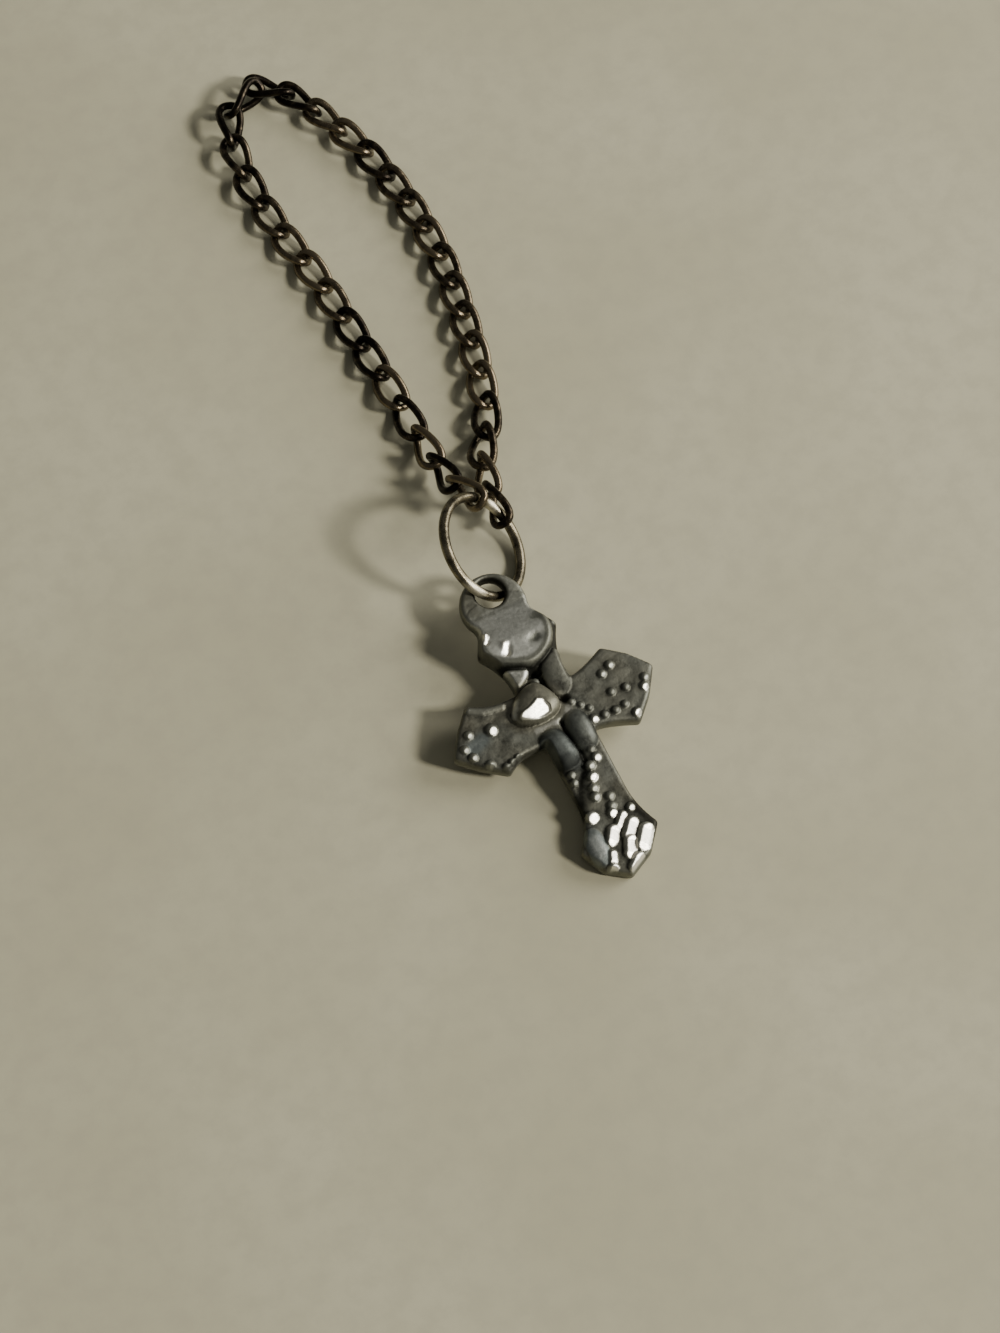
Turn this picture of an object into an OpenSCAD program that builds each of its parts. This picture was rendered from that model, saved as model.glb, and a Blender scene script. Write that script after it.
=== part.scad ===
// Cast metal cross charm on a jump ring, with a closed loop of curb chain.
// Sizes in millimetres. +Y runs from the foot of the cross to the far bend of the chain, +Z is up,
// and the floor that the charm lies on is z = 0.

/* [Cross] */
// Distance from the centre to the outer tip of a side arm
side_tip = 6.6; // [6.5:0.05:6.7]
// Distance from the centre to the end of the foot
foot_tip = 10.95; // [10.8:0.05:11.1]
// Distance from the centre to the side corners of the foot
foot_flare = 8.55; // [8.4:0.05:8.7]
// Distance from the centre to the side corners of the top arm
top_flare = 5.05; // [4.95:0.05:5.15]
// Distance from the centre to the side corners of a side arm
side_flare = 4.5; // [4.4:0.05:4.6]
// Width of the side arms and of the top arm where they leave the centre
neck_w = 3.4; // [3.3:0.05:3.5]
// Width of the stem below the centre
stem_w = 3.1; // [3.0:0.05:3.2]
// Width across the side corners of a side arm
side_flare_w = 5.2; // [5.1:0.05:5.3]
// Width across the side corners of the foot and of the top arm
end_flare_w = 4.9; // [4.8:0.05:5.0]
// Thickness of the casting between its flat back and its front field
body_t = 1.0; // [0.95:0.01:1.05]
// Angle by which the cross leans up from the floor towards its eye
cross_tilt = 4.7; // [4.6:0.1:4.8]

/* [Eye] */
// Distance from the centre of the cross to the middle of the hole in the eye
eye_y = 8.74; // [8.7:0.01:8.78]
// Radius of the hole in the eye
eye_hole_r = 0.9; // [0.88:0.01:0.96]
// Radius of the outside of the eye
eye_r = 2.05; // [2.0:0.01:2.1]
// Thickness of the eye
eye_t = 0.95; // [0.9:0.01:1.0]

/* [Jump ring] */
// Outer diameter of the jump ring
ring_od = 7.04; // [7.02:0.01:7.06]
// Thickness of its wire
ring_wire_d = 0.64; // [0.6:0.01:0.66]
// Angle by which the ring leans on the eye and the chain
ring_tilt = 44; // [43.6:0.1:44.4]
// Direction of the ring's level diameter, from +X towards +Y
ring_heading = 63; // [62.6:0.1:63.4]

/* [Chain] */
// Thickness of the link wire
link_wire_d = 0.48; // [0.46:0.01:0.5]
// Outer length of a link
link_l = 3.56; // [3.55:0.01:3.58]
// Outer width of a link
link_w = 1.98; // [1.96:0.01:2.0]
// Angle by which each end of a link is turned out of its middle plane
link_twist = 44; // [43:0.5:46]
// Distance between links where the chain lies stretched
taut_pitch = 2.48; // [2.47:0.01:2.49]
// Distance between links in the sharp bend at the far end
bend_pitch = 2.12; // [2.11:0.01:2.13]
// Distance between links where the chain lies loose
slack_pitch = 2.27; // [2.26:0.01:2.28]

/* [Hidden] */
$fn = 48;
chain_links = 32;
taut_links = 13;
bend_links = 3;
link_steps = 16;
wire_sides = 6;
eps = 0.01;

link_names = [for (i = [1 : chain_links]) str("link_", i < 10 ? "0" : "", i)];

silver = [0.55, 0.55, 0.54];
dark_brass = [0.30, 0.26, 0.18];
ring_brass = [0.42, 0.37, 0.26];

// Place of the cross's centre above the floor, and of the ring's centre
cross_x = -1.45;
cross_y = -19.2;
cross_turn = -0.8;
ring_x = -0.25;
ring_y = -7.66;
ring_r = (ring_od - ring_wire_d) / 2;
ring_z = ring_r * sin(ring_tilt) + ring_wire_d / 2;

// Outline of the cross, counter-clockwise from the right arm. The casting is uneven: no two arms are alike.
// Each arm is drawn as if it pointed along +X: [direction, half-width of its neck on the right, on the left,
// where its sides start to curve out, how sharply they do, right corner, tip, left corner, how far its end
// bulges]
neck = neck_w / 2;
flare = side_flare_w / 2;
end_flare = end_flare_w / 2;
stem_shift = 0.32;
arms = [
    [0, neck, neck + 0.2, 2.1, 1.4, [side_flare, 0.1 - flare], [side_tip + 0.25, 0.45],
        [side_flare - 0.05, flare + 0.2], 0.18],
    [90, neck + 0.3, neck - 0.3, 2.6, 2, [top_flare + 0.3, -end_flare - 0.4], [eye_y, 0],
        [top_flare + 0.2, end_flare], 0.3],
    [180, neck + 0.4, neck - 0.2, 2.3, 2, [side_flare, -flare - 0.2], [side_tip, 0],
        [side_flare - 0.6, flare - 0.4], 0.12],
    [270, stem_w / 2 - stem_shift, stem_w / 2 + stem_shift, 5.8, 2, [foot_flare - 0.1, -end_flare],
        [foot_tip, -0.3], [foot_flare, end_flare + 0.15], 0.4],
];
flare_steps = 5;
arm_count = 2 * flare_steps + 6;

function turned(p, a) = [p.x * cos(a) - p.y * sin(a), p.x * sin(a) + p.y * cos(a)];

function unit(v) = v / norm(v);

function reversed(list) = [for (i = [len(list) - 1 : -1 : 0]) list[i]];

// One side of an arm: a curve from its neck out to its corner
function arm_side(start, power, half, corner) =
    [for (i = [0 : flare_steps]) let (t = i / flare_steps)
        [start + (corner.x - start) * t, half + (corner.y - half) * pow(t, power)]];

// Point that stands out by h from the middle of the line from a to b
function bulged(a, b, h) = (a + b) / 2 + h * unit([b.y - a.y, a.x - b.x]);

function arm_points(k) =
    let (arm = arms[k], right = arm[5], tip = arm[6], left = arm[7], bulge = arm[8])
    concat(
        arm_side(arm[3], arm[4], -arm[1], right),
        [bulged(right, tip, bulge), tip, bulged(tip, left, bulge)],
        reversed(arm_side(arm[3], arm[4], arm[2], left)),
        [[arms[(k + 1) % 4][1], arm[2]]]);

outer = [for (k = [0 : 3], p = arm_points(k)) turned(p, arms[k][0])];

// Inward direction at corner i of the outline, long enough that both its sides move in by 1
function inward(i) =
    let (
        n = len(outer),
        before = unit(outer[i] - outer[(i + n - 1) % n]),
        after = unit(outer[(i + 1) % n] - outer[i]))
    turned(before + after, 90) / (1 + before * after);

function outline(d) = [for (i = [0 : len(outer) - 1]) outer[i] + d * inward(i)];

// The same outline as faces that bulge nowhere: the middle square, and the stretches of each arm
function arm_faces(k) =
    let (
        right = k * arm_count,
        left = right + 2 * flare_steps + 4,
        before = (k + 3) % 4 * arm_count + arm_count - 1)
    concat(
        [[before, right, left, left + 1]],
        [for (i = [0 : flare_steps - 1]) [right + i, right + i + 1, left - i - 1, left - i]],
        [[for (i = [flare_steps : flare_steps + 4]) right + i]]);

outline_faces = concat(
    [[for (k = [0 : 3]) (k + 1) * arm_count - 1]],
    [for (k = [0 : 3], f = arm_faces(k)) f]);

function lifted(points, z) = [for (p = points) [p.x, p.y, z]];

function drawn_in(points, middle, share) = [for (p = points) middle + (p - middle) * share];

// Solid through rings of points that all have the same count, counter-clockwise seen from above.
// The ends are closed by the faces that are given, or by one face.
module loft(rings, ends = []) {
    n = len(rings[0]);
    last = len(rings) - 1;
    closing = len(ends) > 0 ? ends : [[for (i = [0 : n - 1]) i]];
    walls = [for (r = [0 : last - 1], i = [0 : n - 1])
        [r * n + i, (r + 1) * n + i, (r + 1) * n + (i + 1) % n, r * n + (i + 1) % n]];
    top = [for (f = closing) [for (i = reversed(f)) last * n + i]];
    polyhedron([for (r = rings, p = r) p], concat(closing, top, walls), convexity = 6);
}

module casting() {
    loft([
        lifted(outline(0.16), 0),
        lifted(outline(0), 0.2),
        lifted(outline(0), body_t - 0.3),
        lifted(outline(0.28), body_t),
    ], outline_faces);
}

// The eye's rim is thinner above the hole than at its sides
eye_x = 0.05;
rim_x = -0.05;
rim_y = eye_y - 0.72;

module eye() {
    bevel = 0.28;
    translate([rim_x, rim_y, 0]) rotate_extrude()
        polygon([[0, 0], [eye_r - bevel, 0], [eye_r, bevel], [eye_r, eye_t - bevel], [eye_r - bevel, eye_t],
            [0, eye_t]]);
}

// The hole widens towards the back and the front, where the ring leans on it
module eye_hole() {
    lead = 0.35;
    translate([eye_x, eye_y, 0]) {
        translate([0, 0, -eps]) cylinder(r = eye_hole_r, h = 3);
        translate([0, 0, -eps]) cylinder(r1 = eye_hole_r + lead, r2 = eye_hole_r, h = lead);
        translate([0, 0, eye_t - lead + eps])
            cylinder(r1 = eye_hole_r, r2 = eye_hole_r + 2 * lead, h = 2 * lead);
    }
}

// Smooth plate on the top arm, with a small dimple
plate_middle = [0.1, 5.2];
plate_corners = [[-2.3, 5.9], [-2.42, 5.2], [-2.2, 4.5], [-1.7, 4.0], [-1.0, 3.6], [-0.2, 3.3], [0.5, 3.25],
    [1.2, 3.5], [1.8, 3.95], [2.25, 4.55], [2.45, 5.25], [2.2, 6.0], [1.6, 6.6], [0.8, 7.0], [-0.6, 7.1],
    [-1.7, 6.6]];
plate_top = body_t + 0.7;

module plate() {
    loft([
        lifted(drawn_in(plate_corners, plate_middle, 1), body_t - 0.4),
        lifted(drawn_in(plate_corners, plate_middle, 1), plate_top - 0.3),
        lifted(drawn_in(plate_corners, plate_middle, 0.95), plate_top - 0.08),
        lifted(drawn_in(plate_corners, plate_middle, 0.86), plate_top),
    ]);
}

// Raised block left of the centre, with a facet cut across it towards the foot
boss_middle = [-1.0, 1.05];
boss_corners = [[-2.5, 0.9], [-2.3, 0.1], [-1.2, -0.2], [0.0, -0.15], [0.8, 0.5], [0.5, 1.5], [-0.05, 2.35],
    [-0.8, 2.35], [-1.7, 1.9]];
boss_top = body_t + 0.85;
facet_middle = [-1.05, 0.45];
facet_lean = 34;
facet_heading = 24;

module boss() {
    difference() {
        loft([
            lifted(drawn_in(boss_corners, boss_middle, 1), body_t - 0.4),
            lifted(drawn_in(boss_corners, boss_middle, 1), boss_top - 0.5),
            lifted(drawn_in(boss_corners, boss_middle, 0.86), boss_top - 0.15),
            lifted(drawn_in(boss_corners, boss_middle, 0.66), boss_top),
        ]);
        translate([facet_middle.x, facet_middle.y, body_t + 0.42])
            rotate([facet_lean, 0, facet_heading])
            translate([-3, -3, 0]) cube([6, 6, 3]);
    }
}

// Pointed smooth petal from point a to point b, half as wide as w, standing h proud of the field
module petal(a, b, w, h) {
    along = b - a;
    l = norm(along);
    side_r = (l * l / 4 + w * w / 4) / w;
    crown_r = (l * l / 4 + (h + 0.4) * (h + 0.4)) / (2 * (h + 0.4));
    translate([(a.x + b.x) / 2, (a.y + b.y) / 2, body_t])
    rotate([0, 0, atan2(along.y, along.x)])
    intersection() {
        translate([0, side_r - w / 2, -0.4]) cylinder(r = side_r, h = h + 0.5);
        translate([0, w / 2 - side_r, -0.4]) cylinder(r = side_r, h = h + 0.5);
        translate([0, 0, h - crown_r]) sphere(r = crown_r);
    }
}

// Petals: [from, to, width, height]
petals = [
    [[-1.15, 2.0], [-0.75, 3.9], 1.5, 0.5],
    [[0.95, 0.5], [1.75, 3.9], 1.1, 0.38],
    [[-0.35, -4.1], [-1.05, -0.8], 1.4, 0.9],
    [[1.05, -3.0], [1.0, -0.4], 1.35, 0.85],
    [[-1.75, -9.7], [-1.25, -7.4], 1.0, 0.42],
];

// Rows of beads: [from, to, how many, radius]
bead_rows = [
    [[1.25, -2.85], [1.1, -3.5], 2, 0.34],
    [[0.35, -4.45], [-0.2, -5.75], 3, 0.31],
    [[-0.92, -6.83], [-0.92, -6.83], 1, 0.4],
    [[0.72, -5.9], [0.35, -7.05], 3, 0.31],
    [[0.9, -7.35], [0.42, -7.72], 2, 0.32],
    [[1.45, -7.14], [1.45, -7.14], 1, 0.3],
    [[-0.1, -8.05], [-0.45, -8.5], 2, 0.37],
    [[-0.6, -8.9], [-0.93, -9.52], 2, 0.32],
    [[-1.3, -9.95], [-1.15, -10.3], 2, 0.32],
    [[1.09, -8.0], [0.51, -8.68], 2, 0.4],
    [[1.79, -8.74], [1.02, -9.75], 3, 0.4],
    [[0.82, -9.1], [0.35, -9.77], 2, 0.37],
    [[0.5, -10.15], [0.12, -10.45], 2, 0.34],
    [[-0.83, -3.84], [-1.0, -4.35], 2, 0.3],
    [[3.75, 1.15], [4.39, 1.49], 2, 0.3],
    [[6.0, -0.11], [5.66, -0.6], 2, 0.3],
    [[3.73, -0.12], [4.71, -0.16], 2, 0.26],
    [[4.09, -1.07], [4.42, -1.9], 2, 0.3],
    [[2.03, -1.22], [3.39, -1.28], 3, 0.28],
    [[1.25, 0.45], [2.1, -0.45], 3, 0.24],
    [[-5.15, 0.97], [-5.8, 0.25], 2, 0.31],
    [[-3.71, 0.78], [-3.71, 0.78], 1, 0.42],
    [[-5.46, -0.41], [-4.78, -1.23], 2, 0.31],
    [[-3.75, -1.9], [-3.0, -1.5], 3, 0.27],
];

module beads() {
    for (row = bead_rows, i = [0 : row[2] - 1])
        let (p = row[0] + (row[1] - row[0]) * i / max(row[2] - 1, 1))
        translate([p.x, p.y, body_t]) sphere(r = row[3]);
}

// Raised lip along the upper edge of the left arm
module lip() {
    translate([-3.2, 3.3, body_t - 0.1]) rotate([0, 0, -140]) rotate_extrude(angle = 70)
        translate([1.6, 0]) circle(r = 0.26);
}

module cross() {
    color(silver)
    translate([cross_x, cross_y, 0])
    rotate([cross_tilt, 0, 0])
    translate([0, 0, (foot_tip - 0.16) * tan(cross_tilt)])
    rotate([0, 0, cross_turn])
    difference() {
        union() {
            casting();
            eye();
            plate();
            boss();
            lip();
            for (p = petals) petal(p[0], p[1], p[2], p[3]);
            beads();
        }
        eye_hole();
        translate([1.05, 4.75, plate_top + 0.2]) sphere(r = 0.4);
    }
}

module jump_ring() {
    color(ring_brass)
    translate([ring_x, ring_y, ring_z])
    rotate([0, 0, ring_heading])
    rotate([ring_tilt, 0, 0])
    rotate_extrude()
    translate([ring_r, 0]) circle(d = ring_wire_d);
}

// Route of the chain's middle line, from the jump ring round the far bend and back: [x, y, z, roll, yaw].
// Roll turns a link about its length, yaw turns it off the direction of the route.
route = [
    [1.15, -6.0, 3.5, -88, 0],
    [0.6, -3.87, 2.63, -76, 0],
    [0.12, -1.7, 1.78, -66, -3],
    [0.1, 0.7, 1.16, -50, 0],
    [0.1, 3.1, 0.87, -32, 0],
    [0.1, 5.7, 0.74, -15, 0],
    [-0.1, 10.6, 0.58, -2, 0],
    [-0.35, 15.4, 0.57, 0, 0],
    [-0.75, 18.0, 0.57, 0, 0],
    [-1.0, 20.3, 0.57, 0, 0],
    [-1.15, 23.0, 0.64, 8, 0],
    [-0.95, 25.6, 0.78, 24, 0],
    [-0.45, 27.75, 0.92, 40, 12],
    [1.4, 29.3, 0.95, 90, -4],
    [2.7, 29.65, 0.88, 142, -12],
    [4.7, 27.3, 0.76, 154, -4],
    [5.65, 24.9, 0.7, 162, 0],
    [6.55, 22.3, 0.62, 174, 0],
    [7.25, 17.8, 0.57, 180, 0],
    [7.3, 13.4, 0.57, 180, 0],
    [6.75, 9.5, 0.57, 180, 0],
    [5.8, 5.1, 0.6, 182, 0],
    [4.5, 1.2, 0.72, 194, 0],
    [3.1, -1.0, 0.9, 212, 0],
    [2.35, -3.2, 1.2, 234, 0],
    [2.05, -5.3, 1.5, 256, 0],
    [2.0, -7.4, 1.8, 268, 0],
];

function spline(p, q, r, s, t) =
    0.5 * (2 * q + (r - p) * t + (2 * p - 5 * q + 4 * r - s) * t * t + (3 * q - p - 3 * r + s) * t * t * t);

spline_steps = 8;
fine = concat(
    [for (i = [1 : len(route) - 3], k = [0 : spline_steps - 1])
        spline(route[i - 1], route[i], route[i + 1], route[i + 2], k / spline_steps)],
    [route[len(route) - 2]]);

function place(p) = [p[0], p[1], p[2]];

function lengths(points, i = 0, sum = 0) =
    i == len(points) - 1 ? [sum]
    : concat([sum], lengths(points, i + 1, sum + norm(place(points[i + 1]) - place(points[i]))));

far = lengths(fine);

function column(c) = [for (i = [0 : len(fine) - 1]) [far[i], fine[i][c]]];

xs = column(0);
ys = column(1);
zs = column(2);
rolls = column(3);
yaws = column(4);

function on_route(s) = [lookup(s, xs), lookup(s, ys), lookup(s, zs)];

function link_at(i) =
    taut_pitch * min(i, taut_links)
    + bend_pitch * max(0, min(i - taut_links, bend_links))
    + slack_pitch * max(0, i - taut_links - bend_links);

// A link's own middle line: a full oval whose two ends are turned opposite ways about its length
half_l = (link_l - link_wire_d) / 2;
half_w = (link_w - link_wire_d) / 2;
oval_power = 0.72;

function eased(x) = sign(x) * pow(abs(x), oval_power);

function link_middle(t) =
    let (x = eased(cos(t)), y = half_w * eased(sin(t)), a = -link_twist * x)
    [half_l * x, y * cos(a), y * sin(a)];

function wire_ring(t) =
    let (
        middle = link_middle(t),
        along = unit(link_middle(t + 2) - link_middle(t - 2)),
        level = unit(cross([0, 0, 1], along)),
        upright = cross(along, level))
    [for (k = [0 : wire_sides - 1]) let (a = 360 * (k + 0.5) / wire_sides)
        middle + link_wire_d / 2 * (cos(a) * level + sin(a) * upright)];

link_points = [for (i = [0 : link_steps - 1], p = wire_ring(360 * i / link_steps)) p];

link_faces = [for (i = [0 : link_steps - 1], k = [0 : wire_sides - 1])
    let (n = (i + 1) % link_steps, m = (k + 1) % wire_sides)
    [i * wire_sides + k, n * wire_sides + k, n * wire_sides + m, i * wire_sides + m]];

// A link follows the route, and lies on the floor where the route would put it lower
module link(i) {
    s = link_at(i);
    chord = unit(on_route(s + half_l) - on_route(s - half_l));
    level_chord = turned(chord, lookup(s, yaws));
    along = [level_chord.x, level_chord.y, chord.z];
    level = unit(cross([0, 0, 1], along));
    upright = cross(along, level);
    roll = lookup(s, rolls);
    left = cos(roll) * level + sin(roll) * upright;
    up = cos(roll) * upright - sin(roll) * level;
    points = [for (p = link_points) p.x * along + p.y * left + p.z * up];
    middle = on_route(s);
    color(dark_brass)
    translate([middle.x, middle.y, max(middle.z, -min([for (p = points) p.z]))])
    polyhedron(points, link_faces, convexity = 4);
}

cross();
jump_ring();
for (i = [0 : chain_links - 1])
    link(i);
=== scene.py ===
"""Cross charm on a jump ring, with a closed loop of curb chain, lying on a pale table top."""
import math

import bpy
import numpy as np
from mathutils import Matrix, Vector


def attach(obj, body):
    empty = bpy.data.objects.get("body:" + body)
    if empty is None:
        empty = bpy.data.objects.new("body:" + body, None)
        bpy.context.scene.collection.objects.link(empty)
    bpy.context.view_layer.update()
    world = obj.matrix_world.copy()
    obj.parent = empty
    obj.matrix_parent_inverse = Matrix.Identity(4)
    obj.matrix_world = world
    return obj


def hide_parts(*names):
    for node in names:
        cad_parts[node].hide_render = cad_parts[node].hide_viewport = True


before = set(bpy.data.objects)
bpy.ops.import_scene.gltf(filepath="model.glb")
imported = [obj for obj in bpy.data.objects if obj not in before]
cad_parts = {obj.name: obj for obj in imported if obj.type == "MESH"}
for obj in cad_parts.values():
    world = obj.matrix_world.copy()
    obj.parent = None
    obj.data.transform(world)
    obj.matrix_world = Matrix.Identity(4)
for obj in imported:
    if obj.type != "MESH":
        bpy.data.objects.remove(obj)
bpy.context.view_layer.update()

MM = 0.001

# ---------------------------------------------------------------- sizes of the charm, in mm and degrees
# The cross: how far its arms reach from its centre, half their widths, and the thickness under the relief
SIDE_TIP, FOOT_TIP, FOOT_FLARE, TOP_FLARE, SIDE_FLARE = 6.6, 10.95, 8.55, 5.05, 4.5
NECK, STEM, FLARE, END_FLARE, STEM_SHIFT = 3.4 / 2, 3.1 / 2, 5.2 / 2, 4.9 / 2, 0.32
BODY_T = 1.0
# Its eye: the hole, the thickness there and how far up that starts, and the round rim about the hole
EYE_X, EYE_Y, EYE_HOLE_R, EYE_T = 0.05, 8.74, 0.9, 0.95
EYE_STARTS = (7.2, 7.6)
RIM_X, RIM_Y, EYE_R = -0.05, EYE_Y - 0.72, 2.05
# Where its centre lies, how it is turned and tilted, and how far inside the foot's tip it touches the table
CROSS_X, CROSS_Y, CROSS_TURN, CROSS_TILT = -1.45, -19.2, -0.8, 4.7
FOOT_INSET = 0.16
# The jump ring: its middle, outer width, wire, slant and heading
RING_X, RING_Y, RING_OD, RING_WIRE, RING_TILT, RING_HEADING = -0.25, -7.66, 7.04, 0.64, 44, 63
# One link: its wire, length, width and twist, and how full its oval is: 1 is an ellipse, less is fuller
LINK_WIRE, LINK_L, LINK_W, LINK_TWIST, LINK_POWER = 0.48, 3.56, 1.98, 44, 0.72
# The chain: how many of its links lie taut and how many in the far bend, and how far apart links lie
TAUT_LINKS, BEND_LINKS, CHAIN_LINKS = 13, 3, 32
TAUT_PITCH, BEND_PITCH, SLACK_PITCH = 2.48, 2.12, 2.27

# ---------------------------------------------------------------- camera and light
# What the camera looks at, the lens and the picture's long side in mm, the picture's height in pixels,
# a pixel's size at the target, and how steeply and from which heading the camera looks down
TARGET = Vector((-2.4, -14.2, 0)) * MM
LENS, LONG_SIDE, PICTURE_H, MM_PER_PIXEL = 110, 36, 1333, 0.06
ELEVATION, HEADING = math.radians(63), math.radians(27)
# Lamps: name, direction as the viewer sees it, distance and width in m, power in W, colour
LAMPS = [
    ("key", (0.77, -0.28, 0.574), 1.0, 0.165, 8.4, (1.0, 0.96, 0.87)),
    ("side window", (0.86, 0.31, 0.407), 0.5, 0.36, 2.5, (1.0, 0.97, 0.91)),
]
# The point that they face
LAMPS_FACE = Vector((0, -0.01, 0))
ROOM_COLOUR, ROOM_STRENGTH = (0.95, 0.95, 0.9, 1), 0.12
# The table's side in m
TABLE_SIZE = 1.5


def across(right, away, up=0.0):
    """A direction given as the viewer sees the table: to the right, away and up."""
    c, s = math.cos(HEADING), math.sin(HEADING)
    return Vector((right * c + away * s, -right * s + away * c, up))


def facing(place, towards, up):
    """Place and turn of a camera or a lamp that stands at that place and faces that point."""
    back = (place - towards).normalized()
    right = up.cross(back).normalized()
    turn = Matrix((right, back.cross(right), back)).transposed()
    return Matrix.Translation(place) @ turn.to_4x4()


def make_camera():
    """Camera that sees the target straight on, with the picture's pixels at their real size there."""
    data = bpy.data.cameras.new("camera")
    data.lens, data.sensor_width = LENS, LONG_SIDE
    data.clip_start, data.clip_end = 0.01, 10
    camera = bpy.data.objects.new("camera", data)
    distance = MM_PER_PIXEL * MM * LENS / LONG_SIDE * PICTURE_H
    back = across(0, -math.cos(ELEVATION), math.sin(ELEVATION))
    camera.matrix_world = facing(TARGET + back * distance, TARGET, Vector((0, 0, 1)))
    bpy.context.collection.objects.link(camera)
    bpy.context.scene.camera = camera


def make_lamp(name, direction, distance, size, power, colour):
    """Round soft light that shines on the charm from that direction."""
    data = bpy.data.lights.new(name, "AREA")
    data.shape, data.size, data.energy, data.color = "DISK", size, power, colour
    light = bpy.data.objects.new(name, data)
    place = across(*direction).normalized() * distance
    light.matrix_world = facing(place, LAMPS_FACE, Vector((0, 0.01, 1)))
    bpy.context.collection.objects.link(light)


def make_room_light():
    world = bpy.data.worlds.new("room")
    world.use_nodes = True
    background = world.node_tree.nodes["Background"].inputs
    background["Color"].default_value = ROOM_COLOUR
    background["Strength"].default_value = ROOM_STRENGTH
    bpy.context.scene.world = world


def make_table():
    bpy.ops.mesh.primitive_plane_add(size=TABLE_SIZE)
    table = bpy.context.object
    table.name = "table_top"
    table.data.materials.append(material("table_top", table_top))


# ---------------------------------------------------------------- node trees
class Value:
    """A socket that Python's operators do maths on."""

    def __init__(self, tree, socket):
        self.tree, self.socket = tree, socket

    def maths(self, operation, *values):
        return self.tree.node(
            "ShaderNodeMath", {"operation": operation}, dict(enumerate(values)))

    def __add__(self, other):
        return self.maths("ADD", self, other)

    def __sub__(self, other):
        return self.maths("SUBTRACT", self, other)

    def __mul__(self, other):
        return self.maths("MULTIPLY", self, other)

    def __truediv__(self, other):
        return self.maths("DIVIDE", self, other)

    def __pow__(self, other):
        return self.maths("POWER", self, other)

    def __rsub__(self, other):
        return self.maths("SUBTRACT", other, self)

    def __neg__(self):
        return self.maths("MULTIPLY", self, -1)

    __radd__, __rmul__ = __add__, __mul__

    def between(self, low, high):
        """0 at low, 1 at high, smooth in between."""
        return self.tree.node(
            "ShaderNodeMapRange", {"interpolation_type": "SMOOTHSTEP"},
            {0: self, 1: low, 2: high})


class Tree:
    """Makes the nodes of one tree of shader or geometry nodes."""

    def __init__(self, tree):
        self.tree = tree
        tree.nodes.clear()

    def node(self, kind, settings={}, inputs={}, out=0):
        """Adds a node, and gives its output with that number."""
        node = self.tree.nodes.new(kind)
        for name, value in settings.items():
            setattr(node, name, value)
        for name, value in inputs.items():
            socket = node.inputs[name]
            if isinstance(value, Value):
                self.tree.links.new(value.socket, socket)
            else:
                socket.default_value = value
        self.last = node
        return Value(self, node.outputs[out]) if node.outputs else node

    def mix(self, share, a, b):
        """Colour a turning into colour b."""
        a, b = (c if isinstance(c, Value) else (*c, 1) for c in (a, b))
        return self.node("ShaderNodeMix", {"data_type": "RGBA"}, {0: share, 6: a, 7: b}, out=2)

    def noise(self, at, size, detail=3.0, roughness=0.5):
        """Cloudy value from 0 to 1, with lumps of that size in mm."""
        return self.node("ShaderNodeTexNoise", {}, {
            "Vector": at, "Scale": 1 / (size * MM), "Detail": detail, "Roughness": roughness})

    def attribute(self, name):
        return self.node("ShaderNodeAttribute", {"attribute_name": name}, out=2)

    def bump(self, height, depth, normal=None):
        """Height from 0 to 1 that stands for depth in mm."""
        inputs = {"Strength": 1.0, "Distance": depth * MM, "Height": height}
        if normal:
            inputs["Normal"] = normal
        return self.node("ShaderNodeBump", {}, inputs)


def material(name, recipe):
    """Material whose recipe(tree, place) gives the values of the surface's sockets."""
    made = bpy.data.materials.new(name)
    made.use_nodes = True
    tree = Tree(made.node_tree)
    place = tree.node("ShaderNodeTexCoord", {}, {}, out="Object")
    surface = tree.node("ShaderNodeBsdfPrincipled", {}, recipe(tree, place))
    tree.node("ShaderNodeOutputMaterial", {}, {"Surface": surface})
    return made


# ---------------------------------------------------------------- finishes
def table_top(tree, place):
    """Pale stone-coloured table top, faintly clouded."""
    clouds = tree.noise(place, 22, 4)
    specks = tree.noise(place, 1.6, 4, 0.6)
    colour = tree.mix(clouds.between(0.3, 0.7), (0.475, 0.45, 0.308), (0.545, 0.52, 0.37))
    colour = tree.mix(specks.between(0.35, 0.7) * 0.45, colour, (0.43, 0.405, 0.29))
    return {"Base Color": colour, "Roughness": 0.75}


def cast_silver(tree, place):
    """Antiqued grey casting: blackened where it is hollow, rubbed bright where it stands out."""
    hollow, tone, tint, smooth, facet = (
        tree.attribute(name) for name in ("hollow", "tone", "tint", "smooth", "facet"))
    grime = tree.noise(place, 0.6, 4, 0.6)
    pits = tree.noise(place, 0.22, 3, 0.6)
    grain = tree.noise(place, 0.08, 3, 0.6)
    shade = tone - hollow * 0.16 + (grime - 0.5) * (0.26 - smooth * 0.12)
    shade = shade + (pits - 0.5) * 0.16 + (grain - 0.5) * 0.08
    dark = tree.mix(tint, (0.030, 0.027, 0.018), (0.026, 0.031, 0.031))
    middle = tree.mix(tint, (0.205, 0.195, 0.145), (0.165, 0.185, 0.175))
    light = tree.mix(tint, (0.62, 0.61, 0.53), (0.60, 0.62, 0.58))
    colour = tree.mix(shade.between(0.02, 0.36), dark, middle)
    colour = tree.mix(shade.between(0.38, 0.72), colour, light)
    polished = facet.between(0.2, 0.9) * (1.45 - pits * 0.6 - grime * 0.5)
    colour = tree.mix(polished, colour, (0.90, 0.87, 0.76))
    rough = 0.58 - tone * 0.12 - facet * 0.10 + (grain - 0.5) * 0.16 + (pits - 0.5) * 0.2
    shape = tree.bump(grain, 0.006)
    shape = tree.bump(pits, 0.016, shape)
    shape = tree.bump(grime * (1 - smooth), 0.03, shape)
    return {"Base Color": colour, "Metallic": 0.88, "Roughness": rough, "Normal": shape}


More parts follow.
